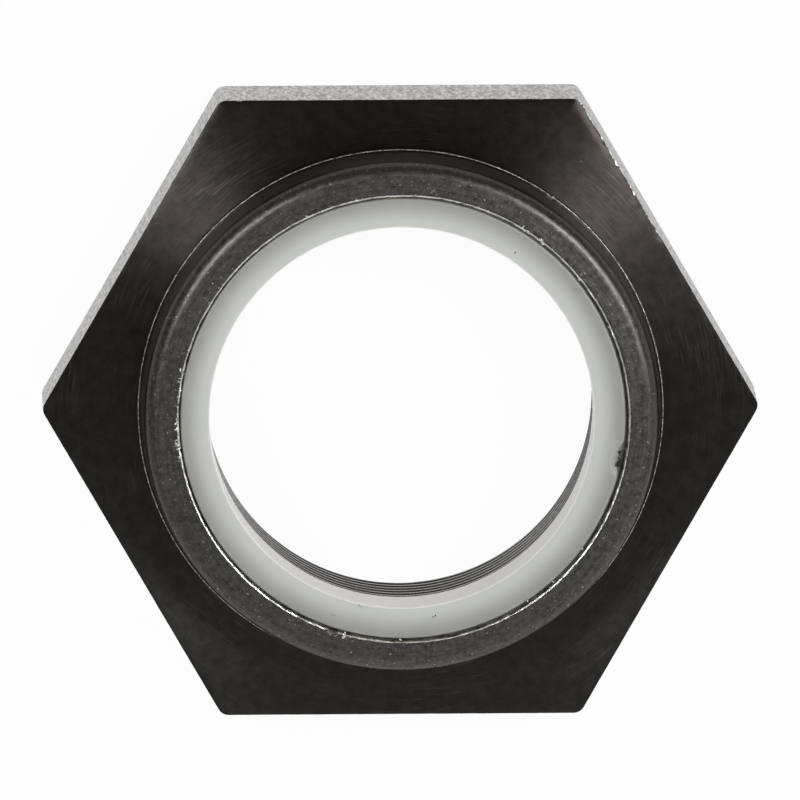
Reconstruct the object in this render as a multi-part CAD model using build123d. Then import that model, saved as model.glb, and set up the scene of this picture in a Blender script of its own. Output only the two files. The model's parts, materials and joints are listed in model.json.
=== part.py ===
from build123d import *

import math
import os

# Thin nylon insert lock nut, M39 x 1.5 right-hand thread on a 60 mm hexagon. Millimetres.
# It lies on its bearing face at z = 0, with the bore on Z and the crimped collar on top.
# Two corners of the hexagon point along X, and two of its flats are square to Y.

# Hexagon
across_flats = 60.0
hexagon_height = 9.8
corner_radius = 1.1         # rolled corners of the hexagonal bar
bearing_edge_break = 0.2    # deburred edge round the bearing face

# Thread, cut to its minor diameter: the helix itself is finer than this model
thread_major_diameter = 39.0
thread_pitch = 1.5
minor_diameter = thread_major_diameter - 1.0825 * thread_pitch
mouth_break = 0.2           # the thread runs out to the bearing face, with its edge just broken
lead_in_diameter = 39.2     # thread start under the insert, a 45 degree chamfer

# Step that the facing tool leaves round the foot of the collar
step_radius = 25.35
step_height = 1.2
foot_radius = 25.05         # foot of the collar's wall, on the step

# Collar: a wall that was straight when turned, then rolled in over the insert
groove_radius = 22.8        # the insert's seat inside the wall
wall_draft = 4.0            # degrees that the crimping die leans the wall inwards
lip_height = 6.75           # top of the lip over the hexagon
lip_radius = 21.7           # opening inside the lip
lip_thickness = 1.0
band_slope = 7.5            # degrees that the crimped band rises towards the lip
shoulder_radius = 1.4       # outside of the bend
inner_bend_radius = 0.55    # inside of the bend
undercut_slope = 45.0       # degrees of the lip's underside

# Nylon insert
insert_bore_radius = 18.5   # under the thread's minor radius, so the screw has to form it
insert_gap = 0.17           # open crevice between the lip and the insert
insert_rim_height = 6.55    # over the hexagon, beside the lip
insert_edge_height = 6.4    # over the hexagon, at its bore: the top is slightly dished

minor_radius = minor_diameter / 2
lip_top = hexagon_height + lip_height
undercut_rise = math.tan(math.radians(undercut_slope))
lip_underside = lip_top - lip_thickness
bend_start = lip_underside - (groove_radius - lip_radius) * undercut_rise


def ring_of(outline, radii):
    """Turn a closed outline of (radius, height) points round Z, with a bend radius at each point."""
    corners = [(radius, 0, height) for radius, height in outline]
    section = make_face(FilletPolyline(*corners, radius=radii, close=True))
    return revolve(section, Axis.Z)


def hexagon_blank():
    """The hexagonal bar stock, with rolled corners and a deburred bearing edge."""
    hexagon = RegularPolygon(across_flats / 2, 6, major_radius=False)
    rounded = fillet(hexagon.vertices(), corner_radius)
    blank = extrude(rounded, hexagon_height)
    bearing_edges = blank.faces().sort_by(Axis.Z)[0].edges()
    return chamfer(bearing_edges, bearing_edge_break)


def bore_cutter():
    """The tapping hole, with its edge broken below and the thread's lead-in on top."""
    lead_in_radius = lead_in_diameter / 2
    lead_in_start = hexagon_height - (lead_in_radius - minor_radius)
    outline = [
        (0, 0),
        (minor_radius + mouth_break, 0),
        (minor_radius, mouth_break),
        (minor_radius, lead_in_start),
        (lead_in_radius, hexagon_height),
        (0, hexagon_height),
    ]
    return ring_of(outline, [0] * len(outline))


def shoulder_corner():
    """Where the leaning wall and the rising band would meet if the bend were sharp."""
    wall_lean = math.tan(math.radians(wall_draft))
    band_fall = math.tan(math.radians(band_slope))
    step_top = hexagon_height + step_height
    # wall: radius = foot_radius - wall_lean * (height - step_top)
    # band: height = lip_top - band_fall * (radius - lip_radius)
    reach = foot_radius - wall_lean * (lip_top - step_top) - lip_radius
    radius = lip_radius + reach / (1 - wall_lean * band_fall)
    return radius, lip_top - band_fall * (radius - lip_radius)


def crimped_collar():
    """The collar in one section: step, leaning wall, shoulder, band, lip and the groove inside."""
    root = hexagon_height - step_height     # sunk into the hexagon, so that the two fuse
    outline = [
        (groove_radius, root),
        (step_radius, root),
        (step_radius, hexagon_height + step_height),
        (foot_radius, hexagon_height + step_height),
        shoulder_corner(),
        (lip_radius, lip_top),
        (lip_radius, lip_underside),
        (groove_radius, bend_start),
    ]
    return ring_of(outline, [0, 0, 0, 0, shoulder_radius, 0, 0, inner_bend_radius])


def nut_body():
    """The steel nut: hexagon, bore and crimped collar, all one piece."""
    return hexagon_blank() - bore_cutter() + crimped_collar()


def nylon_ring():
    """The insert, which fills the groove, follows the lip's underside and swells up inside the lip."""
    rim_radius = lip_radius - insert_gap
    rim_foot = lip_underside + insert_gap * undercut_rise
    outline = [
        (insert_bore_radius, hexagon_height),
        (groove_radius, hexagon_height),
        (groove_radius, bend_start),
        (rim_radius, rim_foot),
        (rim_radius, hexagon_height + insert_rim_height),
        (insert_bore_radius, hexagon_height + insert_edge_height),
    ]
    return ring_of(outline, [0, 0, inner_bend_radius, 0, 0, 0])


os.makedirs("parts", exist_ok=True)
export_step(nut_body(), "parts/nut_body.step")
export_step(nylon_ring(), "parts/nylon_ring.step")
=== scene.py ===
import json
import math

import bpy
import numpy as np
from mathutils import Matrix, Vector

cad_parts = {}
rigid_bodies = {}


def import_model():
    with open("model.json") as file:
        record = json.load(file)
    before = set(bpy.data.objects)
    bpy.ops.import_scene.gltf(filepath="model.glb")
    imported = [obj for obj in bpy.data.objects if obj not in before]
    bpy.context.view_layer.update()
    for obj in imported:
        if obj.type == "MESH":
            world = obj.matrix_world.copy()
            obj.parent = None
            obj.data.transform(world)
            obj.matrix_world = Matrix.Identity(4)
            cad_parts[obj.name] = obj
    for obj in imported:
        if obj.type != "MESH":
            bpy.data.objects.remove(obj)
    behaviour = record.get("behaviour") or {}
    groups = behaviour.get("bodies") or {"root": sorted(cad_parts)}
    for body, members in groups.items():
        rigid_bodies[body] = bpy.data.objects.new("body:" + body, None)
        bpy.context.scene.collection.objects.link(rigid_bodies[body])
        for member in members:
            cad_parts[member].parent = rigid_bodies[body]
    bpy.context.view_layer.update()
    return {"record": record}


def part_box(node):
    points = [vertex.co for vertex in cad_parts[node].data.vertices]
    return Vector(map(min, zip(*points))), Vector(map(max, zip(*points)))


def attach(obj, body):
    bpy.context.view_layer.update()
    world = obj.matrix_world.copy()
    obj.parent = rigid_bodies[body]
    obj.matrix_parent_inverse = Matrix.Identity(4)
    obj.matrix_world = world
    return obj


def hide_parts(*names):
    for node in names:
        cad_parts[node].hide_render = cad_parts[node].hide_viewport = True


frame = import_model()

mm = 0.001

# The frame gives the big sizes, so the dressed pieces always fit it
bodyLow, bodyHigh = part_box("nut_body")
ringLow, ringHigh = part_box("nylon_ring")
mounts = {mount["name"]: mount for mount in frame["record"]["mounts"]}
apothem = bodyHigh.y
faceHeight = ringLow.z              # upper face of the hexagon, where the insert sits
lipTop = bodyHigh.z
grooveRadius = ringHigh.x
minorRadius = mounts["thread"]["dims"]["r_mm"] * mm
insertBore = mounts["insert_bore"]["dims"]["r_mm"] * mm
print("frame read:", round(2 * apothem / mm, 2), "mm across flats,", round(lipTop / mm, 2), "mm high")


def linear(hexColour):
    # sRGB hex to the linear colour that a shader wants
    parts = [int(hexColour[i:i + 2], 16) / 255 for i in (1, 3, 5)]
    return [c / 12.92 if c <= 0.04045 else ((c + 0.055) / 1.055) ** 2.4 for c in parts] + [1.0]


def feed(tree, node, inputs):
    # sets a node's inputs, in order or by name: each is a value, or the socket that it comes from
    for key, value in (inputs.items() if isinstance(inputs, dict) else enumerate(inputs)):
        if isinstance(value, bpy.types.NodeSocket):
            tree.links.new(value, node.inputs[key])
        else:
            node.inputs[key].default_value = value


def addNode(tree, kind, inputs=(), **settings):
    node = tree.nodes.new(kind)
    for name, value in settings.items():
        setattr(node, name, value)
    feed(tree, node, inputs)
    return node


# A Mix node has its A, its B and its result once for each type. These are the sockets for colours.
colourA, colourB, mixed = 6, 7, 2


def newMaterial(name, constants):
    # a material with one Principled shader, and its constant sockets
    material = bpy.data.materials.new(name)
    material.use_nodes = True
    tree = material.node_tree
    tree.nodes.clear()
    shader = addNode(tree, "ShaderNodeBsdfPrincipled", constants)
    addNode(tree, "ShaderNodeOutputMaterial", {"Surface": shader.outputs[0]})
    return material, tree, shader


def newTree(name, counts, sizes):
    # an empty Geometry Nodes tree with named inputs: whole numbers, then sizes
    tree = bpy.data.node_groups.new(name, "GeometryNodeTree")
    tree.interface.new_socket("Geometry", in_out="INPUT", socket_type="NodeSocketGeometry")
    for label in counts + sizes:
        kind = "NodeSocketInt" if label in counts else "NodeSocketFloat"
        tree.interface.new_socket(label, in_out="INPUT", socket_type=kind)
    tree.interface.new_socket("Geometry", in_out="OUTPUT", socket_type="NodeSocketGeometry")
    return tree, addNode(tree, "NodeGroupInput").outputs


def joinPainted(tree, added, material, piece):
    # puts the material on the new part, and joins it to the piece
    painted = addNode(tree, "GeometryNodeSetMaterial", {"Geometry": added, "Material": material}).outputs[0]
    both = addNode(tree, "GeometryNodeJoinGeometry")
    for part in (painted, piece):
        tree.links.new(part, both.inputs[0])
    return both.outputs[0]


def runTree(piece, tree, values):
    # runs the tree on the piece and keeps the result as its plain mesh
    modifier = piece.modifiers.new(tree.name, "NODES")
    modifier.node_group = tree
    for item in tree.interface.items_tree:
        if item.in_out == "INPUT" and item.name in values:
            modifier[item.identifier] = values[item.name]
    bpy.context.view_layer.update()
    depsgraph = bpy.context.evaluated_depsgraph_get()
    mesh = bpy.data.meshes.new_from_object(piece.evaluated_get(depsgraph), depsgraph=depsgraph)
    piece.modifiers.clear()
    piece.data = mesh


def newPiece(name, data):
    piece = bpy.data.objects.new(name, data)
    bpy.context.scene.collection.objects.link(piece)
    return piece


def shadeSmooth(piece, sharpDegrees):
    piece.data.shade_smooth()
    piece.data.set_sharp_from_angle(angle=math.radians(sharpDegrees))


def roundCorner(before, corner, after, rounding, steps):
    # the points of the arc that takes the place of a sharp corner in a section
    here = Vector(corner)
    back = (Vector(before) - here).normalized()
    ahead = (Vector(after) - here).normalized()
    half = back.angle(ahead) / 2
    centre = here + (back + ahead).normalized() * rounding / math.sin(half)
    first = here + back * rounding / math.tan(half) - centre
    last = here + ahead * rounding / math.tan(half) - centre
    return [centre + first.lerp(last, step / steps).normalized() * rounding for step in range(steps + 1)]


def sectionRows(corners, steps):
    # Rows of (from axis, height, hexagon share, bare metal, raggedness, finish) along a section. A corner is
    # ((from axis, height), hexagon share, rounding, rows to the next corner, finish, bare metal, raggedness).
    stops = []
    for index, (place, share, rounding, span, finish, bare, ragged) in enumerate(corners):
        points = [Vector(place)]
        if rounding:
            following = corners[(index + 1) % len(corners)]
            points = roundCorner(corners[index - 1][0], place, following[0], rounding, steps)
        for point in points:
            stops.append([point.x, point.y, share, bare, ragged, finish, 1])
        stops[-1][-1] = span
    rows = []
    for stop, following in zip(stops, stops[1:] + stops[:1]):
        for step in range(stop[-1]):
            part = step / stop[-1]
            rows.append([a + (b - a) * part for a, b in zip(stop[:5], following[:5])] + [stop[5]])
    return rows


def turnSection(name, rows, columns, outline, closed):
    # a ring of vertices for each row, joined by quads
    angles = [2 * math.pi * column / columns for column in range(columns)]
    points = []
    for radius, height, share, *_ in rows:
        for angle in angles:
            far = radius + (outline(angle, radius) - radius) * share if share else radius
            points.append((far * math.cos(angle), far * math.sin(angle), height))
    faces = []
    slots = []
    for low in range(len(rows) if closed else len(rows) - 1):
        high = (low + 1) % len(rows)
        for column in range(columns):
            beside = (column + 1) % columns
            corners = [low * columns + column, low * columns + beside]
            corners += [high * columns + beside, high * columns + column]
            faces.append(corners)
            slots.append(rows[low][-1])
    mesh = bpy.data.meshes.new(name)
    mesh.from_pydata(points, [], faces)
    mesh.polygons.foreach_set("material_index", slots)
    for label, place in (("bare", 3), ("ragged", 4)):       # where they stand in a row
        values = [row[place] for row in rows for _ in angles]
        mesh.attributes.new(label, "FLOAT", "POINT").data.foreach_set("value", values)
    return mesh


def polar(degrees, fromAxis, height):
    angle = math.radians(degrees)
    return Vector((fromAxis * math.cos(angle), fromAxis * math.sin(angle), height))


def vertexPlaces(mesh):
    places = np.empty(len(mesh.vertices) * 3)
    mesh.vertices.foreach_get("co", places)
    return places.reshape(-1, 3)


def addWear(mesh, label, marks):
    # raises the piece's "bare" or "ragged" attribute along each mark: (start, end, reach, amount)
    places = vertexPlaces(mesh)
    wear = np.empty(len(mesh.vertices))
    mesh.attributes[label].data.foreach_get("value", wear)
    for start, end, reach, amount in marks:
        span = np.array(end - start)
        squaredLength = max(span @ span, 1e-12)             # never nothing, where both ends are one point
        part = np.clip((places - np.array(start)) @ span / squaredLength, 0, 1)
        nearest = np.array(start) + part[:, None] * span
        near = np.clip(1 - np.linalg.norm(places - nearest, axis=1) / reach, 0, 1)
        wear += near ** 0.5 * amount                        # a full middle, and a quick end
    mesh.attributes[label].data.foreach_set("value", wear)


def offCentre(mesh, shift, still, moved, low):
    # The lip was not rolled quite true: above `low`, points slide sideways, from none of the shift at the
    # radius `still` to all of it at `moved`
    places = vertexPlaces(mesh)
    far = np.hypot(places[:, 0], places[:, 1])
    share = np.clip((far - still) / (moved - still), 0, 1) * (places[:, 2] > low)
    places[:, 0] += share * shift[0]
    places[:, 1] += share * shift[1]
    mesh.vertices.foreach_set("co", places.ravel())


def aroundAxis(tree):
    # the level direction away from the axis, and the distance from it
    place = addNode(tree, "ShaderNodeTexCoord").outputs["Object"]
    level = addNode(tree, "ShaderNodeVectorMath", [place, (1, 1, 0)], operation="MULTIPLY").outputs[0]
    outwards = addNode(tree, "ShaderNodeVectorMath", [level], operation="NORMALIZE").outputs[0]
    far = addNode(tree, "ShaderNodeVectorMath", [level], operation="LENGTH").outputs["Value"]
    return outwards, far


def polarPlace(tree, along, across):
    # Seamless coordinates for what was turned: 1 for each `along` round the collar, or `across` out or down
    outwards, far = aroundAxis(tree)
    place = addNode(tree, "ShaderNodeTexCoord").outputs["Object"]
    height = addNode(tree, "ShaderNodeSeparateXYZ", [place]).outputs["Z"]
    climb = addNode(tree, "ShaderNodeMath", [far, height], operation="SUBTRACT").outputs[0]
    steps = addNode(tree, "ShaderNodeMath", [climb, 1 / across], operation="MULTIPLY").outputs[0]
    up = addNode(tree, "ShaderNodeCombineXYZ", {"Z": steps}).outputs[0]
    turns = grooveRadius / along
    return addNode(tree, "ShaderNodeVectorMath", [outwards, (turns, turns, turns), up],
                   operation="MULTIPLY_ADD").outputs[0]


# Bare steel, bright where handling has worn a finish off
bareSteel = {
    "colour": "#dcd8d0",
    "span": (0.95, 1.15),           # noise plus wear, from nothing bare to all of it bare
}


def wornToSteel(tree, colour, grain):
    # the colour, with bare steel where the piece's "bare" attribute says, broken up by a fine grain
    place = addNode(tree, "ShaderNodeTexCoord").outputs["Object"]
    noise = addNode(tree, "ShaderNodeTexNoise", {
        "Vector": place, "Scale": 1 / grain, "Detail": 3.0}).outputs[0]
    bare = addNode(tree, "ShaderNodeAttribute", attribute_name="bare").outputs["Fac"]
    total = addNode(tree, "ShaderNodeMath", [noise, bare]).outputs[0]
    worn = addNode(tree, "ShaderNodeMapRange", [total, *bareSteel["span"]]).outputs[0]
    return addNode(tree, "ShaderNodeMix", {
        "Factor": worn, colourA: colour, colourB: linear(bareSteel["colour"])},
        data_type="RGBA").outputs[mixed]


# Turned steel in black oxide: near-black and oily, with a sheen drawn out across its lathe rings.
# A span is the two noise levels between which one look turns into the other.
turnedFinish = {
    "dark": "#302e2b",
    "light": "#3d3a37",
    "smudgeSize": 1.4 * mm,
    "smudgeSpan": (0.36, 0.64),
    "scuff": "#504c48",
    "scuffLength": 2.4 * mm,
    "scuffWidth": 0.13 * mm,
    "scuffSpan": (0.52, 0.7),
    "handledSize": 9 * mm,          # the scuffs gather in patches, where it was handled
    "handledSpan": (0.45, 0.65),
    "bareGrain": 0.35 * mm,
    "ringPitch": 0.16 * mm,         # lathe feed, drawn a little coarser than the real 0.1 mm so that it shows
    "ringLength": 40 * mm,
    "ringDepth": 0.004 * mm,
    "ringStrength": 0.35,
    "toolLean": 0.1,                # the facing tool leaves a sawtooth that leans outwards
    "face": {"metal": 1.0, "grain": 0.93, "roughness": (0.29, 0.37)},
    # the tool and the die left the wall smoother, with a dry film of oxide and dust where nothing rubs it
    "wall": {"metal": 0.3, "grain": 0.2, "roughness": (0.31, 0.39)},
}


def turnedBlackOxide(surface):
    # surface is "face" or "wall"
    cut = turnedFinish[surface]
    material, tree, shader = newMaterial("turned_steel_black_oxide_" + surface, {
        "Metallic": cut["metal"],
        "Anisotropic": cut["grain"],        # how far the lathe rings draw the sheen out
        "Anisotropic Rotation": 0.25,       # a quarter turn, from along the rings to across them
    })
    place = addNode(tree, "ShaderNodeTexCoord").outputs["Object"]
    smudge = addNode(tree, "ShaderNodeTexNoise", {
        "Vector": place, "Scale": 1 / turnedFinish["smudgeSize"],
        "Detail": 8.0, "Roughness": 0.72}).outputs[0]
    mottle = addNode(tree, "ShaderNodeMapRange", [smudge, *turnedFinish["smudgeSpan"]]).outputs[0]
    oxide = addNode(tree, "ShaderNodeMix", {
        "Factor": mottle, colourA: linear(turnedFinish["dark"]), colourB: linear(turnedFinish["light"])},
        data_type="RGBA").outputs[mixed]
    hairs = addNode(tree, "ShaderNodeTexNoise", {
        "Vector": polarPlace(tree, turnedFinish["scuffLength"], turnedFinish["scuffWidth"]),
        "Scale": 1.0, "Detail": 3.0, "Distortion": 0.6}).outputs[0]
    fine = addNode(tree, "ShaderNodeMapRange", [hairs, *turnedFinish["scuffSpan"]]).outputs[0]
    patches = addNode(tree, "ShaderNodeTexNoise", {
        "Vector": place, "Scale": 1 / turnedFinish["handledSize"], "Detail": 3.0}).outputs[0]
    handled = addNode(tree, "ShaderNodeMapRange", [patches, *turnedFinish["handledSpan"]]).outputs[0]
    scuffs = addNode(tree, "ShaderNodeMath", [fine, handled], operation="MULTIPLY").outputs[0]
    scuffed = addNode(tree, "ShaderNodeMix", {
        "Factor": scuffs, colourA: oxide, colourB: linear(turnedFinish["scuff"])},
        data_type="RGBA").outputs[mixed]
    rings = addNode(tree, "ShaderNodeTexNoise", {
        "Vector": polarPlace(tree, turnedFinish["ringLength"], turnedFinish["ringPitch"]),
        "Scale": 1.0, "Detail": 2.0}).outputs[0]
    outwards, _ = aroundAxis(tree)
    normal = addNode(tree, "ShaderNodeNewGeometry").outputs["Normal"]
    leaning = addNode(tree, "ShaderNodeVectorMath", [outwards, (turnedFinish["toolLean"],) * 3, normal],
                      operation="MULTIPLY_ADD").outputs[0]
    facing = addNode(tree, "ShaderNodeVectorMath", [leaning], operation="NORMALIZE").outputs[0]
    bump = addNode(tree, "ShaderNodeBump", {
        "Strength": turnedFinish["ringStrength"], "Distance": turnedFinish["ringDepth"],
        "Height": rings, "Normal": facing}).outputs[0]
    rough = addNode(tree, "ShaderNodeMapRange", [smudge, 0, 1, *cut["roughness"]]).outputs[0]
    tangent = addNode(tree, "ShaderNodeVectorMath", [(0, 0, 1), outwards],
                      operation="CROSS_PRODUCT").outputs[0]
    colour = wornToSteel(tree, scuffed, turnedFinish["bareGrain"])
    feed(tree, shader, {"Base Color": colour, "Roughness": rough, "Normal": bump, "Tangent": tangent})
    return material


# Hot-rolled bar: the flats keep their rough mill scale, which glitters where the light grazes it
scaleFinish = {
    "dark": "#56534f",
    "light": "#d1cfce",
    "grain": 0.36 * mm,
    "grainSpan": (0.36, 0.64),
    "stretch": 0.3,                 # the rolls drew the scale out along the bar
    "depth": 0.035 * mm,
    "strength": 0.9,
    "bareGrain": 0.3 * mm,
    "roughness": (0.24, 0.49),
}


def rolledScale():
    material, tree, shader = newMaterial("hot_rolled_mill_scale", {"Metallic": 1.0})
    place = addNode(tree, "ShaderNodeTexCoord").outputs["Object"]
    drawn = addNode(tree, "ShaderNodeVectorMath", [place, (1, 1, scaleFinish["stretch"])],
                    operation="MULTIPLY").outputs[0]
    grain = addNode(tree, "ShaderNodeTexNoise", {
        "Vector": drawn, "Scale": 1 / scaleFinish["grain"], "Detail": 4.0, "Roughness": 0.65}).outputs[0]
    patchy = addNode(tree, "ShaderNodeMapRange", [grain, *scaleFinish["grainSpan"]]).outputs[0]
    scale = addNode(tree, "ShaderNodeMix", {
        "Factor": patchy, colourA: linear(scaleFinish["dark"]), colourB: linear(scaleFinish["light"])},
        data_type="RGBA").outputs[mixed]
    bump = addNode(tree, "ShaderNodeBump", {
        "Strength": scaleFinish["strength"], "Distance": scaleFinish["depth"], "Height": grain}).outputs[0]
    rough = addNode(tree, "ShaderNodeMapRange", [grain, 0, 1, *scaleFinish["roughness"]]).outputs[0]
    colour = wornToSteel(tree, scale, scaleFinish["bareGrain"])
    feed(tree, shader, {"Base Color": colour, "Roughness": rough, "Normal": bump})
    return material


# Steel rolled over by the crimping die: burnished dark grey, streaked round the collar, pitted and scuffed
crimpFinish = {
    "dark": "#3f3e3b",
    "light": "#615f5c",
    "streakLength": 3.3 * mm,
    "streakWidth": 0.22 * mm,
    "streakShare": 0.35,            # the pits make up the rest
    "pitSize": 0.5 * mm,
    "toneSpan": (0.36, 0.62),
    "depth": 0.042 * mm,
    "strength": 0.6,
    "fleck": "#b9b6af",
    "fleckSize": 0.22 * mm,
    "fleckSpan": (0.68, 0.76),
    "paintedShadeBelow": 1.3 * mm,         # under the lip's top, where painted shade (the turned wall's black) starts over the rolled steel
    "paintedShadeEndsAbove": 0.55 * mm,       # and above which the rolled steel has no painted shade
    "bareGrain": 0.3 * mm,
    "roughness": (0.27, 0.42),
}


def crimpedSteel():
    material, tree, shader = newMaterial("crimped_steel_burnished", {"Metallic": 1.0})
    place = addNode(tree, "ShaderNodeTexCoord").outputs["Object"]
    streaks = addNode(tree, "ShaderNodeTexNoise", {
        "Vector": polarPlace(tree, crimpFinish["streakLength"], crimpFinish["streakWidth"]),
        "Scale": 1.0, "Detail": 4.0, "Roughness": 0.6}).outputs[0]
    pits = addNode(tree, "ShaderNodeTexNoise", {
        "Vector": place, "Scale": 1 / crimpFinish["pitSize"], "Detail": 5.0, "Roughness": 0.7}).outputs[0]
    share = crimpFinish["streakShare"]
    faint = addNode(tree, "ShaderNodeMath", [streaks, share], operation="MULTIPLY").outputs[0]
    both = addNode(tree, "ShaderNodeMath", [pits, 1 - share, faint], operation="MULTIPLY_ADD").outputs[0]
    tone = addNode(tree, "ShaderNodeMapRange", [both, *crimpFinish["toneSpan"]]).outputs[0]
    steel = addNode(tree, "ShaderNodeMix", {
        "Factor": tone, colourA: linear(crimpFinish["dark"]), colourB: linear(crimpFinish["light"])},
        data_type="RGBA").outputs[mixed]
    # Darker down the shoulder by height: the turned wall's black runs up into the rolled steel, deepened into
    # painted shade
    height = addNode(tree, "ShaderNodeSeparateXYZ", [place]).outputs["Z"]
    rolled = addNode(tree, "ShaderNodeMapRange", [
        height, lipTop - crimpFinish["paintedShadeBelow"], lipTop - crimpFinish["paintedShadeEndsAbove"]]).outputs[0]
    bent = addNode(tree, "ShaderNodeMix", {
        "Factor": rolled, colourA: linear(turnedFinish["dark"]), colourB: steel},
        data_type="RGBA").outputs[mixed]
    speckle = addNode(tree, "ShaderNodeTexNoise", {
        "Vector": place, "Scale": 1 / crimpFinish["fleckSize"], "Detail": 2.0}).outputs[0]
    flecks = addNode(tree, "ShaderNodeMapRange", [speckle, *crimpFinish["fleckSpan"]]).outputs[0]
    flecked = addNode(tree, "ShaderNodeMix", {
        "Factor": flecks, colourA: bent, colourB: linear(crimpFinish["fleck"])},
        data_type="RGBA").outputs[mixed]
    bump = addNode(tree, "ShaderNodeBump", {
        "Strength": crimpFinish["strength"], "Distance": crimpFinish["depth"], "Height": both}).outputs[0]
    rough = addNode(tree, "ShaderNodeMapRange", [pits, 0, 1, *crimpFinish["roughness"]]).outputs[0]
    colour = wornToSteel(tree, flecked, crimpFinish["bareGrain"])
    feed(tree, shader, {"Base Color": colour, "Roughness": rough, "Normal": bump})
    return material


# The lip's edge, scraped bright by the crimping die, with dirt left in its dents
lipFinish = {
    "dirt": "#45423d",
    "steel": "#f0ece4",
    "grain": 1.1 * mm,
    "grainSpan": (0.36, 0.58),
    "roughness": (0.37, 0.22),      # in the dirt, and on the bright steel
}


def brightLip():
    material, tree, shader = newMaterial("bare_steel_scraped", {"Metallic": 1.0})
    place = addNode(tree, "ShaderNodeTexCoord").outputs["Object"]
    grain = addNode(tree, "ShaderNodeTexNoise", {
        "Vector": place, "Scale": 1 / lipFinish["grain"], "Detail": 4.0, "Roughness": 0.6}).outputs[0]
    clean = addNode(tree, "ShaderNodeMapRange", [grain, *lipFinish["grainSpan"]]).outputs[0]
    colour = addNode(tree, "ShaderNodeMix", {
        "Factor": clean, colourA: linear(lipFinish["dirt"]), colourB: linear(lipFinish["steel"])},
        data_type="RGBA").outputs[mixed]
    rough = addNode(tree, "ShaderNodeMapRange", [grain, 0, 1, *lipFinish["roughness"]]).outputs[0]
    feed(tree, shader, {"Base Color": colour, "Roughness": rough})
    return material


# Thread cut after the bar was blackened: warm grey, smoother than the outside, with painted shade darkening
# its root
threadFinish = {
    "crest": "#767270",
    "root": "#060505",
    "rootShadeSpan": (0.02, 0.3),        # parts of the thread's depth between which the crest turns into the root's painted shade
    "grain": 0.6 * mm,
    "roughness": (0.18, 0.38),
}


def cutThread(depth):
    material, tree, shader = newMaterial("cut_thread_oiled_steel", {"Metallic": 1.0})
    place = addNode(tree, "ShaderNodeTexCoord").outputs["Object"]
    _, far = aroundAxis(tree)
    # painted shade: darker the deeper into the thread
    span = [minorRadius + part * depth for part in threadFinish["rootShadeSpan"]]
    deep = addNode(tree, "ShaderNodeMapRange", [far, *span]).outputs[0]
    colour = addNode(tree, "ShaderNodeMix", {
        "Factor": deep, colourA: linear(threadFinish["crest"]), colourB: linear(threadFinish["root"])},
        data_type="RGBA").outputs[mixed]
    grain = addNode(tree, "ShaderNodeTexNoise", {
        "Vector": place, "Scale": 1 / threadFinish["grain"], "Detail": 3.0}).outputs[0]
    rough = addNode(tree, "ShaderNodeMapRange", [grain, 0, 1, *threadFinish["roughness"]]).outputs[0]
    feed(tree, shader, {"Base Color": colour, "Roughness": rough})
    return material


# The steel nut
nut = {
    "columns": 720,
    "cornerRadius": 1.12 * mm,      # rolled corners of the hexagonal bar
    "bearingBreak": 0.2 * mm,
    "frontEdge": 0.05 * mm,         # rounding of the edge round the upper face
    "mouthRadius": 19.56 * mm,      # a hair over the major radius: the thread runs out in a true circle
    "mouthRise": 0.25 * mm,
    "leadInRadius": 19.6 * mm,
    "stepRadius": 25.35 * mm,
    "stepHeight": 1.2 * mm,
    "stepEdge": 0.09 * mm,
    "footRadius": 25.05 * mm,
    "wallLean": math.tan(math.radians(4.0)),
    "bandFall": math.tan(math.radians(7.5)),
    "shoulderRounding": 1.4 * mm,
    "lipRadius": 21.54 * mm,
    "lipShift": (0.19 * mm, -0.12 * mm),
    "trueRise": 3 * mm,             # how far up from the hexagon the collar still runs true
    "lipThickness": 1.0 * mm,
    "lipEdge": 0.18 * mm,
    "insideBend": 0.55 * mm,
    "guard": 0.3 * mm,              # strip beside an edge, where the edge's wear ends
    "raggedGrain": 0.8 * mm,
    "raggedSeed": 4.0,
    "arcSteps": 6,
    "sharpDegrees": 32,
}
stepTop = faceHeight + nut["stepHeight"]

# material slots of the nut, in the order in which makeNut fills them
finishes = {"turned": 0, "scale": 1, "crimped": 2, "lip": 3, "wall": 4}

thread = {
    "pitch": 1.5 * mm,
    "majorRadius": 19.5 * mm,
    "start": 0.6,                   # part of a pitch that the first crest lies under the bearing face, at +X
    "seam": 0.002 * mm,             # closer points are joined, where the thread meets itself and the body
    # one pitch of the section, from one crest to the next: (part of the pitch, part of the depth)
    "section": [(0, 0), (0.125, 0), (0.25, 0), (0.406, 0.5), (0.5625, 1), (0.6875, 1), (0.844, 0.5)],
}


def hexOutline(angle, flat):
    # distance from the axis to the rolled hexagon whose flats lie this far out, its corners along X
    sixth = math.pi / 3
    rolled = nut["cornerRadius"] - (apothem - flat)
    fromFlat = abs(angle % sixth - sixth / 2)
    if flat * math.tan(fromFlat) <= (flat - rolled) * math.tan(sixth / 2):
        return flat / math.cos(fromFlat)
    centre = (flat - rolled) / math.cos(sixth / 2)
    fromCorner = sixth / 2 - fromFlat
    return centre * math.cos(fromCorner) + math.sqrt(rolled ** 2 - (centre * math.sin(fromCorner)) ** 2)


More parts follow.
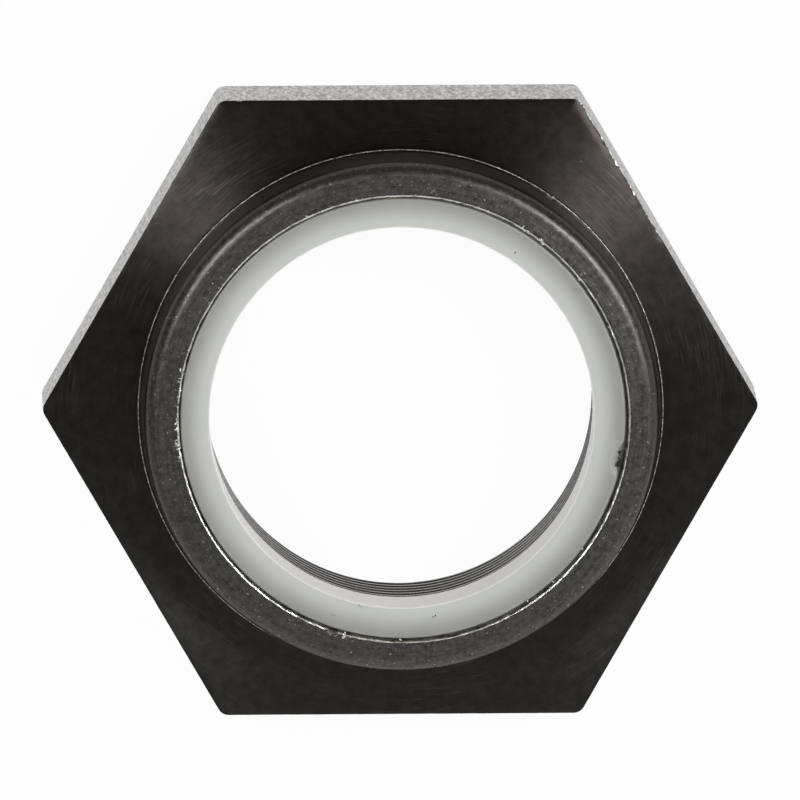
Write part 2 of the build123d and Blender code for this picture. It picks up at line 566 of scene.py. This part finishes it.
def nutCorners():
    # the nut's section: from the mouth of the bore, out, up over the hexagon and the collar, into the groove
    turned, scale, crimped, lip, wall = finishes.values()
    guard = nut["guard"]
    bearingEdge = apothem - nut["bearingBreak"]
    pastStepEdge = nut["stepRadius"] - 1.1 * nut["stepEdge"]    # just clear of the rounding
    reach = nut["footRadius"] - nut["wallLean"] * (lipTop - stepTop) - nut["lipRadius"]
    shoulder = nut["lipRadius"] + reach / (1 - nut["wallLean"] * nut["bandFall"])
    shoulderHeight = lipTop - nut["bandFall"] * (shoulder - nut["lipRadius"])
    lipUnderside = lipTop - nut["lipThickness"]
    bendHeight = lipUnderside - (grooveRadius - nut["lipRadius"])
    return [
        ((nut["mouthRadius"], 0), 0, 0, 3, turned, 0, 0),
        ((bearingEdge - 2 * guard, 0), 1, 0, 1, turned, 0.1, 0),
        ((bearingEdge, 0), 1, 0, 1, turned, 0.5, 0),
        ((apothem, nut["bearingBreak"]), 1, 0, 1, scale, 0.5, 0),
        ((apothem, nut["bearingBreak"] + guard), 1, 0, 6, scale, 0.15, 0.02 * mm),
        ((apothem, faceHeight - guard), 1, 0, 2, scale, 0.2, 0.02 * mm),
        ((apothem, faceHeight), 1, nut["frontEdge"], 2, turned, 0.3, 0.05 * mm),
        ((apothem - guard, faceHeight), 1, 0, 12, turned, 0, 0),
        ((nut["stepRadius"], faceHeight), 0, 0, 2, turned, 0, 0),
        ((nut["stepRadius"], stepTop), 0, nut["stepEdge"], 1, scale, 0.2, 0.02 * mm),
        ((pastStepEdge, stepTop), 0, 0, 1, turned, 0, 0),
        ((nut["footRadius"], stepTop), 0, 0, 8, wall, 0, 0),
        ((shoulder, shoulderHeight), 0, nut["shoulderRounding"], 8, crimped, 0.2, 0.03 * mm),
        ((nut["lipRadius"] + guard, lipTop - guard * nut["bandFall"]), 0, 0, 2, crimped, 0.3, 0.08 * mm),
        ((nut["lipRadius"], lipTop), 0, nut["lipEdge"], 2, lip, 1, 0.2 * mm),
        ((nut["lipRadius"], lipUnderside), 0, 0, 1, turned, 0, 0),
        ((grooveRadius, bendHeight), 0, nut["insideBend"], 1, turned, 0, 0),
        ((grooveRadius, faceHeight), 0, 0, 1, turned, 0, 0),
        ((nut["leadInRadius"], faceHeight), 0, 0, 1, turned, 0, 0),
    ]


def raggedTree():
    # wears the surface back by a noise, as far as the piece's own "ragged" attribute allows
    tree, given = newTree("ragged edges", [], ["Grain", "Seed"])
    place = addNode(tree, "GeometryNodeInputPosition").outputs[0]
    scale = addNode(tree, "ShaderNodeMath", [1, given["Grain"]], operation="DIVIDE").outputs[0]
    noise = addNode(tree, "ShaderNodeTexNoise", {
        "Vector": place, "W": given["Seed"], "Scale": scale, "Detail": 3.0}, noise_dimensions="4D").outputs[0]
    limit = addNode(tree, "GeometryNodeInputNamedAttribute", {"Name": "ragged"}, data_type="FLOAT").outputs[0]
    depth = addNode(tree, "ShaderNodeMath", [noise, limit], operation="MULTIPLY").outputs[0]
    inwards = addNode(tree, "ShaderNodeMath", [depth, -1], operation="MULTIPLY").outputs[0]
    normal = addNode(tree, "GeometryNodeInputNormal").outputs[0]
    offset = addNode(tree, "ShaderNodeVectorMath", {0: normal, "Scale": inwards},
                     operation="SCALE").outputs[0]
    moved = addNode(tree, "GeometryNodeSetPosition", {"Geometry": given["Geometry"], "Offset": offset})
    addNode(tree, "NodeGroupOutput", {"Geometry": moved.outputs[0]})
    return tree


def threadTree(material):
    # Adds the right-hand thread to a turned body. It is a grid whose rows climb one pitch in each turn, so
    # its crests are true helices, and both ends are cut back by the mouth and the lead-in.
    tree, given = newTree("right-hand thread", ["Columns", "Turns"], [
        "Pitch", "Minor Radius", "Depth", "Mouth Radius", "Mouth Rise", "Lead In Radius", "Height", "Start"])
    steps = len(thread["section"])
    rows = addNode(tree, "ShaderNodeMath", [given["Turns"], steps], operation="MULTIPLY").outputs[0]
    across = addNode(tree, "ShaderNodeMath", [given["Columns"], 1]).outputs[0]
    up = addNode(tree, "ShaderNodeMath", [rows, 1]).outputs[0]
    grid = addNode(tree, "GeometryNodeMeshGrid", {
        "Size X": 1, "Size Y": 1, "Vertices X": across, "Vertices Y": up}).outputs["Mesh"]

    # a point's place on the grid: part of the turn, whole turns under it, and its step in the section
    centred = addNode(tree, "GeometryNodeInputPosition").outputs[0]
    shares = addNode(tree, "ShaderNodeVectorMath", [centred, (0.5, 0.5, 0)]).outputs[0]
    around, upwards, _ = addNode(tree, "ShaderNodeSeparateXYZ", [shares]).outputs
    nearRow = addNode(tree, "ShaderNodeMath", [upwards, rows], operation="MULTIPLY").outputs[0]
    row = addNode(tree, "ShaderNodeMath", [nearRow], operation="ROUND").outputs[0]
    midRow = addNode(tree, "ShaderNodeMath", [row, 0.5]).outputs[0]
    turns = addNode(tree, "ShaderNodeMath", [midRow, steps], operation="DIVIDE").outputs[0]
    turn = addNode(tree, "ShaderNodeMath", [turns], operation="FLOOR").outputs[0]
    step = addNode(tree, "ShaderNodeMath", [turn, -steps, row], operation="MULTIPLY_ADD").outputs[0]
    picked = []
    for values in zip(*thread["section"]):
        switch = addNode(tree, "GeometryNodeIndexSwitch", data_type="FLOAT")
        while len(switch.index_switch_items) < steps:
            switch.index_switch_items.new()
        feed(tree, switch, [step, *values])
        picked.append(switch.outputs[0])
    along, deep = picked

    # its height, and the radius that the cutter, the mouth or the lead-in leaves there
    climbs = addNode(tree, "ShaderNodeMath", [turn, along]).outputs[0]
    climbed = addNode(tree, "ShaderNodeMath", [climbs, around]).outputs[0]
    pitches = addNode(tree, "ShaderNodeMath", [climbed, given["Start"]], operation="SUBTRACT").outputs[0]
    rise = addNode(tree, "ShaderNodeMath", [pitches, given["Pitch"]], operation="MULTIPLY").outputs[0]
    height = addNode(tree, "ShaderNodeClamp", [rise, 0, given["Height"]]).outputs[0]
    cut = addNode(tree, "ShaderNodeMath", [deep, given["Depth"], given["Minor Radius"]],
                  operation="MULTIPLY_ADD").outputs[0]
    mouth = addNode(tree, "ShaderNodeMapRange", [
        height, 0, given["Mouth Rise"], given["Mouth Radius"], given["Minor Radius"]]).outputs[0]
    below = addNode(tree, "ShaderNodeMath", [given["Height"], height], operation="SUBTRACT").outputs[0]
    leadIn = addNode(tree, "ShaderNodeMath", [given["Lead In Radius"], below],
                     operation="SUBTRACT").outputs[0]
    ends = addNode(tree, "ShaderNodeMath", [mouth, leadIn], operation="MAXIMUM").outputs[0]
    radius = addNode(tree, "ShaderNodeMath", [cut, ends], operation="MAXIMUM").outputs[0]

    # wrapped round the axis, and turned to face the bore
    angle = addNode(tree, "ShaderNodeMath", [around, 2 * math.pi], operation="MULTIPLY").outputs[0]
    flat = addNode(tree, "ShaderNodeCombineXYZ", {"X": radius, "Z": height}).outputs[0]
    wrapped = addNode(tree, "ShaderNodeVectorRotate", {"Vector": flat, "Angle": angle},
                      rotation_type="Z_AXIS").outputs[0]
    bent = addNode(tree, "GeometryNodeSetPosition", {"Geometry": grid, "Position": wrapped}).outputs[0]
    inwards = addNode(tree, "GeometryNodeFlipFaces", {"Mesh": bent}).outputs[0]
    both = joinPainted(tree, inwards, material, given["Geometry"])
    closed = addNode(tree, "GeometryNodeMergeByDistance", {"Geometry": both, "Distance": thread["seam"]})
    addNode(tree, "NodeGroupOutput", {"Geometry": closed.outputs[0]})
    return tree


# Slivers and specks: small flakes, each turned and sized at random
flake = {
    "tilt": 0.35,                   # radians out of level, either way
    "turn": 6.28,                   # radians: they point anywhere
    "lengths": (0.5, 1.5),          # parts of the size
    "widths": (0.3, 0.8),
}


def flakeTree(name, material):
    # adds flakes along an arc, from the low angle to the high one, this far from the axis and up
    tree, given = newTree(name, ["Count", "Seed"], [
        "Low", "High", "From Axis", "Spread", "Height", "Size", "Thickness"])
    # A Random Value node's low, high and result are other sockets for a number than for a vector
    number, vector = ("FLOAT", 2, 3, 1), ("FLOAT_VECTOR", 0, 1, 0)
    tilt = flake["tilt"]
    draws = [
        (number, given["Low"], given["High"]),
        (number, -1, 1),
        (vector, (-tilt, -tilt, 0), (tilt, tilt, flake["turn"])),
        (number, *flake["lengths"]),
        (number, *flake["widths"]),
    ]
    drawn = []
    for offset, ((kind, least, most, result), low, high) in enumerate(draws):
        seed = addNode(tree, "ShaderNodeMath", [given["Seed"], offset]).outputs[0]
        limits = {least: low, most: high, "Seed": seed}
        drawn.append(addNode(tree, "FunctionNodeRandomValue", limits, data_type=kind).outputs[result])
    angle, aside, lie, longer, wider = drawn

    far = addNode(tree, "ShaderNodeMath", [aside, given["Spread"], given["From Axis"]],
                  operation="MULTIPLY_ADD").outputs[0]
    flat = addNode(tree, "ShaderNodeCombineXYZ", {"X": far, "Z": given["Height"]}).outputs[0]
    place = addNode(tree, "ShaderNodeVectorRotate", {"Vector": flat, "Angle": angle},
                    rotation_type="Z_AXIS").outputs[0]
    points = addNode(tree, "GeometryNodePoints", {"Count": given["Count"], "Position": place}).outputs[0]
    shape = addNode(tree, "GeometryNodeMeshIcoSphere", {"Radius": 0.5, "Subdivisions": 2}).outputs[0]
    length = addNode(tree, "ShaderNodeMath", [given["Size"], longer], operation="MULTIPLY").outputs[0]
    width = addNode(tree, "ShaderNodeMath", [given["Size"], wider], operation="MULTIPLY").outputs[0]
    spans = addNode(tree, "ShaderNodeCombineXYZ", [length, width, given["Thickness"]]).outputs[0]
    flakes = addNode(tree, "GeometryNodeInstanceOnPoints", {
        "Points": points, "Instance": shape, "Rotation": lie, "Scale": spans}).outputs[0]
    real = addNode(tree, "GeometryNodeRealizeInstances", {"Geometry": flakes}).outputs[0]
    addNode(tree, "NodeGroupOutput", {"Geometry": joinPainted(tree, real, material, given["Geometry"])})
    return tree


def scatterFlakes(piece, tree, groups):
    # Each group: count, degrees from and to, from the axis, spread, height, size, thickness. Its seed is ten
    # on from the last one's, because a group draws with five.
    for index, (count, low, high, fromAxis, spread, height, size, thickness) in enumerate(groups):
        runTree(piece, tree, {
            "Count": count, "Seed": index * 10 + 3, "Low": math.radians(low), "High": math.radians(high),
            "From Axis": fromAxis, "Spread": spread, "Height": height, "Size": size, "Thickness": thickness})


# What rough handling left on the sharp edges, and what the crimping die raised on the lip.
# Degrees run from +X.
lipRadius = nut["lipRadius"]
lipCrest = lipTop - 0.1 * mm        # slivers lie here, so that they stay under the lip's top
nutWear = {
    # each dent: degrees, from the axis, height, reach, depth
    "dents": [
        (-108.3, 21.6 * mm, lipTop, 0.55 * mm, 0.6 * mm),
        (-172.6, 21.6 * mm, lipTop, 0.4 * mm, 0.35 * mm),
        (54.8, nut["stepRadius"], stepTop, 0.3 * mm, 0.2 * mm),
    ],
    "rubbedPart": 0.45,             # part of the upper edge that is rubbed, from its corner at 60 degrees
    "rubbedReach": 0.35 * mm,
    "rubbedDepth": 0.14 * mm,
    "rubbedBare": 0.3,
    "nicks": [48.4, 65.3, 117.2],   # degrees of the bright nicks in the upper edge
    "nickReach": 0.2 * mm,
    # groups of slivers, as scatterFlakes takes them
    "slivers": [
        (38, 166, 190, lipRadius + 0.16 * mm, 0.22 * mm, lipCrest, 0.34 * mm, 0.12 * mm),
        (9, 51, 58, lipRadius + 0.16 * mm, 0.2 * mm, lipCrest, 0.34 * mm, 0.1 * mm),
        (4, 254.6, 256.6, lipRadius + 0.3 * mm, 0.16 * mm, lipCrest, 0.5 * mm, 0.12 * mm),
        (30, 0, 360, lipRadius + 0.1 * mm, 0.14 * mm, lipCrest, 0.24 * mm, 0.1 * mm),
        (4, 53.9, 55.6, nut["stepRadius"] - 0.1 * mm, 0.1 * mm, stepTop - 0.02 * mm, 0.3 * mm, 0.1 * mm),
        (22, 60, 82, nut["stepRadius"] - 1.55 * mm, 0.3 * mm, lipTop - 0.62 * mm, 0.22 * mm, 0.3 * mm),
        (1, 53.9, 53.9, 29.6 * mm, 0.0, faceHeight, 0.17 * mm, 0.02 * mm),
    ],
}


def nutMarks():
    # marks for addWear: where the edges are worn back, and where bare steel shows
    worn = [(polar(*place), polar(*place), reach, depth) for *place, reach, depth in nutWear["dents"]]
    cornerDistance = apothem / math.cos(math.radians(30))
    corner, otherCorner = (polar(degrees, cornerDistance, faceHeight) for degrees in (60, 0))
    rubbed = (corner, corner.lerp(otherCorner, nutWear["rubbedPart"]), nutWear["rubbedReach"])
    worn.append((*rubbed, nutWear["rubbedDepth"]))
    bare = [(*rubbed, nutWear["rubbedBare"])]
    for degrees in nutWear["nicks"]:
        nick = polar(degrees, hexOutline(math.radians(degrees), apothem), faceHeight)
        bare.append((nick, nick, nutWear["nickReach"], 1))
    return worn, bare


def makeNut():
    rows = sectionRows(nutCorners(), nut["arcSteps"])
    mesh = turnSection("lock_nut_body", rows, nut["columns"], hexOutline, closed=False)
    for label, marks in zip(("ragged", "bare"), nutMarks()):
        addWear(mesh, label, marks)
    offCentre(mesh, nut["lipShift"], nut["footRadius"], nut["lipRadius"] + nut["guard"],
              faceHeight + nut["trueRise"])
    scraped = brightLip()
    face, wall = turnedBlackOxide("face"), turnedBlackOxide("wall")
    for material in (face, rolledScale(), crimpedSteel(), scraped, wall):
        mesh.materials.append(material)
    piece = newPiece("lock_nut_body", mesh)
    runTree(piece, raggedTree(), {"Grain": nut["raggedGrain"], "Seed": nut["raggedSeed"]})
    depth = thread["majorRadius"] - minorRadius
    runTree(piece, threadTree(cutThread(depth)), {
        "Columns": nut["columns"],
        "Turns": math.ceil(faceHeight / thread["pitch"]) + 1,
        "Start": thread["start"],
        "Pitch": thread["pitch"],
        "Minor Radius": minorRadius,
        "Depth": depth,
        "Mouth Radius": nut["mouthRadius"],
        "Mouth Rise": nut["mouthRise"],
        "Lead In Radius": nut["leadInRadius"],
        "Height": faceHeight,
    })
    scatterFlakes(piece, flakeTree("raised slivers", scraped), nutWear["slivers"])
    shadeSmooth(piece, nut["sharpDegrees"])
    return piece


nutPiece = makeNut()
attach(nutPiece, "root")
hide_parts("nut_body")
print("nut body:", len(nutPiece.data.polygons), "faces")


# The nylon insert
insert = {
    "columns": 360,
    "lipGap": 0.14 * mm,            # open crevice between the steel lip and the nylon
    "rimShift": (0.11 * mm, -0.07 * mm),
    "trueRim": 0.5 * mm,            # the top stays true this far out from the bore
    "trueRise": 0.2 * mm,           # and the rim this far up from the bend
    "edgeDrop": 0.15 * mm,          # the top is dished towards the bore
    "boreEdge": 0.1 * mm,
    "rimEdge": 0.2 * mm,
    "raggedGrain": 0.7 * mm,
    "raggedSeed": 2.0,
    "arcSteps": 5,
    "sharpDegrees": 40,
    "gouge": (-13.3, -8.6),         # a gouge in the rim, in degrees from +X, filled with dark flakes as painted shade
    "gougeReach": 0.7 * mm,
    "gougeDepth": 0.8 * mm,
    "gougeShadeFlakes": 26,
    # specks of swarf pressed into the top, in twos: degrees, from the axis in mm
    "specks": [(158.4, 20.74), (-109.3, 20.18), (-102.6, 18.8), (-81.1, 19.64), (-83.3, 21.2),
               (55.2, 19.46), (36.7, 20.67)],
    "speckArc": 0.6,                # degrees either way
}

# Natural nylon, machined: milky and translucent, with painted shade greying it towards the steel
nylonFinish = {
    "clean": "#c8cac5",
    # painted light: the bore's wall is paler, standing in for the light that comes through the bore
    "cut": "#fdf8f6",
    # distances from the bore's wall, between which clean nylon turns to the painted light on the bore's wall
    "boreLightSpan": (0.12 * mm, 0.03 * mm),
    # painted shade towards the rim, where the steel lip shades the nylon
    "rim": "#90908a",
    "rimShadeWidth": 2.5 * mm,
    "cloudSize": 4 * mm,
    "cloudShare": (0.7, 1.0),       # how much of the painted rim shade the clouds let through
    "depth": 1.2 * mm,
    "roughness": (0.31, 0.44),
}


def naturalNylon(rimRadius):
    material, tree, shader = newMaterial("natural_nylon_satin", {
        "IOR": 1.53,
        "Subsurface Weight": 0.6,
        "Subsurface Radius": (1.0, 1.0, 0.95),
        "Subsurface Scale": nylonFinish["depth"],
    })
    place = addNode(tree, "ShaderNodeTexCoord").outputs["Object"]
    _, far = aroundAxis(tree)
    # painted shade, rising towards the rim
    rim = addNode(tree, "ShaderNodeMapRange", [far, rimRadius - nylonFinish["rimShadeWidth"], rimRadius],
                  interpolation_type="SMOOTHSTEP").outputs[0]
    cloud = addNode(tree, "ShaderNodeTexNoise", {
        "Vector": place, "Scale": 1 / nylonFinish["cloudSize"], "Detail": 4.0}).outputs[0]
    thick = addNode(tree, "ShaderNodeMapRange", [cloud, 0, 1, *nylonFinish["cloudShare"]]).outputs[0]
    shade = addNode(tree, "ShaderNodeMath", [rim, thick], operation="MULTIPLY").outputs[0]
    # painted light, paler on the bore's wall
    boreLightShare = addNode(tree, "ShaderNodeMapRange", [
        far, *(insertBore + depth for depth in nylonFinish["boreLightSpan"])]).outputs[0]
    boreLitColour = addNode(tree, "ShaderNodeMix", {
        "Factor": boreLightShare, colourA: linear(nylonFinish["clean"]), colourB: linear(nylonFinish["cut"])},
        data_type="RGBA").outputs[mixed]
    colour = addNode(tree, "ShaderNodeMix", {
        "Factor": shade, colourA: boreLitColour, colourB: linear(nylonFinish["rim"])},
        data_type="RGBA").outputs[mixed]
    rough = addNode(tree, "ShaderNodeMapRange", [cloud, 0, 1, *nylonFinish["roughness"]]).outputs[0]
    feed(tree, shader, {"Base Color": colour, "Roughness": rough})
    return material


# Steel dust pressed into the nylon: dull, brown-black where it has rusted. The same dark flakes fill the
# gouge as painted shade.
swarfFinish = {"dark": "#1c1a18", "light": "#57534d", "grain": 0.1 * mm, "roughness": 0.6}


def darkSwarfAndShade():
    material, tree, shader = newMaterial("steel_dust_and_gouge_shade", {
        "Metallic": 1.0, "Roughness": swarfFinish["roughness"]})
    place = addNode(tree, "ShaderNodeTexCoord").outputs["Object"]
    grain = addNode(tree, "ShaderNodeTexNoise", {
        "Vector": place, "Scale": 1 / swarfFinish["grain"]}).outputs[0]
    colour = addNode(tree, "ShaderNodeMix", {
        "Factor": grain, colourA: linear(swarfFinish["dark"]), colourB: linear(swarfFinish["light"])},
        data_type="RGBA").outputs[mixed]
    feed(tree, shader, {"Base Color": colour})
    return material


def makeInsert():
    top = ringHigh.z
    rimRadius = nut["lipRadius"] - insert["lipGap"]
    lipUnderside = lipTop - nut["lipThickness"]
    bendHeight = lipUnderside - (grooveRadius - nut["lipRadius"])
    corners = [
        ((insertBore, faceHeight), 0, 0, 3, 0, 0, 0),
        ((grooveRadius, faceHeight), 0, 0, 3, 0, 0, 0),
        ((grooveRadius, bendHeight), 0, nut["insideBend"], 1, 0, 0, 0),
        ((rimRadius, lipUnderside + insert["lipGap"]), 0, 0, 2, 0, 0, 0),
        ((rimRadius, top), 0, insert["rimEdge"], 8, 0, 0, 0),
        ((insertBore, top - insert["edgeDrop"]), 0, insert["boreEdge"], 8, 0, 0, 0),
    ]
    rows = sectionRows(corners, insert["arcSteps"])
    mesh = turnSection("nylon_insert", rows, insert["columns"], hexOutline, closed=True)
    mesh.materials.append(naturalNylon(rimRadius))
    gougeStart, gougeEnd = insert["gouge"]
    addWear(mesh, "ragged", [(polar(gougeEnd, rimRadius, top), polar(gougeStart, rimRadius, top),
                              insert["gougeReach"], insert["gougeDepth"])])
    offCentre(mesh, insert["rimShift"], insertBore + insert["trueRim"], rimRadius,
              bendHeight + insert["trueRise"])
    piece = newPiece("nylon_insert", mesh)
    runTree(piece, raggedTree(), {"Grain": insert["raggedGrain"], "Seed": insert["raggedSeed"]})
    swarfAndGougeShade = [(2, degrees - insert["speckArc"], degrees + insert["speckArc"],
              far * mm, 0.12 * mm, top - 0.08 * mm, 0.2 * mm, 0.05 * mm) for degrees, far in insert["specks"]]
    # dark flakes in the gouge: painted shade standing in for the gouge's shadow
    swarfAndGougeShade.append((insert["gougeShadeFlakes"], gougeStart, gougeEnd,
                  rimRadius - 0.04 * mm, 0.2 * mm, top - 0.14 * mm, 0.32 * mm, 0.06 * mm))
    scatterFlakes(piece, flakeTree("swarf specks", darkSwarfAndShade()), swarfAndGougeShade)
    shadeSmooth(piece, insert["sharpDegrees"])
    return piece


insertPiece = makeInsert()
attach(insertPiece, "root")
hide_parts("nylon_ring")
print("nylon insert:", len(insertPiece.data.polygons), "faces")


# Plain pale floor: white to the camera and in reflections, and it keeps the nut's soft shadow
floor = {"size": 3.0, "drop": 0.02 * mm, "colour": "#f4f4f2", "glow": 0.95}


def makeFloor():
    half = floor["size"] / 2
    corners = [(x * half, y * half, -floor["drop"]) for x, y in ((-1, -1), (1, -1), (1, 1), (-1, 1))]
    mesh = bpy.data.meshes.new("floor")
    mesh.from_pydata(corners, [], [(0, 1, 2, 3)])
    material = bpy.data.materials.new("pale_studio_floor")
    material.use_nodes = True
    tree = material.node_tree
    tree.nodes.clear()
    rays = addNode(tree, "ShaderNodeLightPath").outputs
    seen = rays["Is Camera Ray"]
    for ray in ("Is Glossy Ray", "Is Transmission Ray"):
        seen = addNode(tree, "ShaderNodeMath", [seen, rays[ray]], operation="MAXIMUM").outputs[0]
    share = addNode(tree, "ShaderNodeMath", [seen, floor["glow"]], operation="MULTIPLY").outputs[0]
    matt = addNode(tree, "ShaderNodeBsdfDiffuse", {"Color": linear(floor["colour"])}).outputs[0]
    white = addNode(tree, "ShaderNodeEmission", {"Color": (1, 1, 1, 1), "Strength": 1.0}).outputs[0]
    surface = addNode(tree, "ShaderNodeMixShader", [share, matt, white]).outputs[0]
    addNode(tree, "ShaderNodeOutputMaterial", {"Surface": surface})
    mesh.materials.append(material)
    return newPiece("floor", mesh)


makeFloor()

# Soft boxes, up and to either side, in a room that is pale towards the near side (-Y) and dark behind
studio = {
    "paleSide": (0.2, -0.98, 0),
    "facingSpan": (-0.15, 0.8),     # how far a direction faces the pale side, from all dark to all pale
    "dark": 0.2,
    "pale": 0.9,
    "aim": (0, 0, 0.01),
    "distance": 0.7,
    # each box: name, direction from +X in degrees, height in degrees, side in metres, watts
    "boxes": [
        ("left softbox", 147, 57, 0.13, 1.25),
        ("right softbox", 32, 57, 0.13, 1.45),
        ("side softbox", 14, 45, 0.18, 0.6),
    ],
}


def makeLights():
    for name, direction, rise, side, watts in studio["boxes"]:
        lamp = bpy.data.lights.new(name, "AREA")
        lamp.size = side
        lamp.energy = watts
        turn, lift = math.radians(direction), math.radians(rise)
        out = Vector((math.cos(lift) * math.cos(turn), math.cos(lift) * math.sin(turn), math.sin(lift)))
        box = newPiece(name, lamp)
        box.location = Vector(studio["aim"]) + out * studio["distance"]
        box.rotation_euler = out.to_track_quat("Z", "Y").to_euler()
    world = bpy.data.worlds.new("studio room")
    world.use_nodes = True
    tree = world.node_tree
    tree.nodes.clear()
    looking = addNode(tree, "ShaderNodeTexCoord").outputs["Generated"]
    facing = addNode(tree, "ShaderNodeVectorMath", [looking, studio["paleSide"]],
                     operation="DOT_PRODUCT").outputs["Value"]
    level = addNode(tree, "ShaderNodeMapRange", [
        facing, *studio["facingSpan"], studio["dark"], studio["pale"]]).outputs[0]
    background = addNode(tree, "ShaderNodeBackground", {"Color": (1, 1, 1, 1), "Strength": level}).outputs[0]
    addNode(tree, "ShaderNodeOutputWorld", {"Surface": background})
    bpy.context.scene.world = world


makeLights()
print("floor and lights are set")

# The camera looks down on the collar, tilted a little towards the hexagon's back flat
view = {
    "tilt": 9.0,
    "sway": 1.28,
    "roll": 0.35,
    "distance": 2.509,
    "sensorWidth": 36,              # in mm, like the lens
    "pixelsPerMm": 10.376,
    "imageSize": 800,
    "shiftRight": 0.039 * mm,       # where the axis crosses the hexagon's face, off the middle of the image
    "shiftUp": -0.719 * mm,
}


def makeCamera():
    lens = bpy.data.cameras.new("camera")
    lens.sensor_width = view["sensorWidth"]
    lens.lens = view["pixelsPerMm"] * (view["distance"] / mm) * view["sensorWidth"] / view["imageSize"]
    toCamera = (Matrix.Rotation(math.radians(view["sway"]), 3, "Y")
                @ Matrix.Rotation(math.radians(view["tilt"]), 3, "X")
                @ Matrix.Rotation(math.radians(view["roll"]), 3, "Z"))
    toWorld = toCamera.transposed()
    axisPoint = Vector((0, 0, faceHeight))
    place = axisPoint + toWorld @ Vector((-view["shiftRight"], -view["shiftUp"], view["distance"]))
    camera = newPiece("camera", lens)
    camera.matrix_world = Matrix.Translation(place) @ toWorld.to_4x4()
    bpy.context.scene.camera = camera


makeCamera()
bpy.context.scene.view_settings.view_transform = "Standard"
print("camera is set")
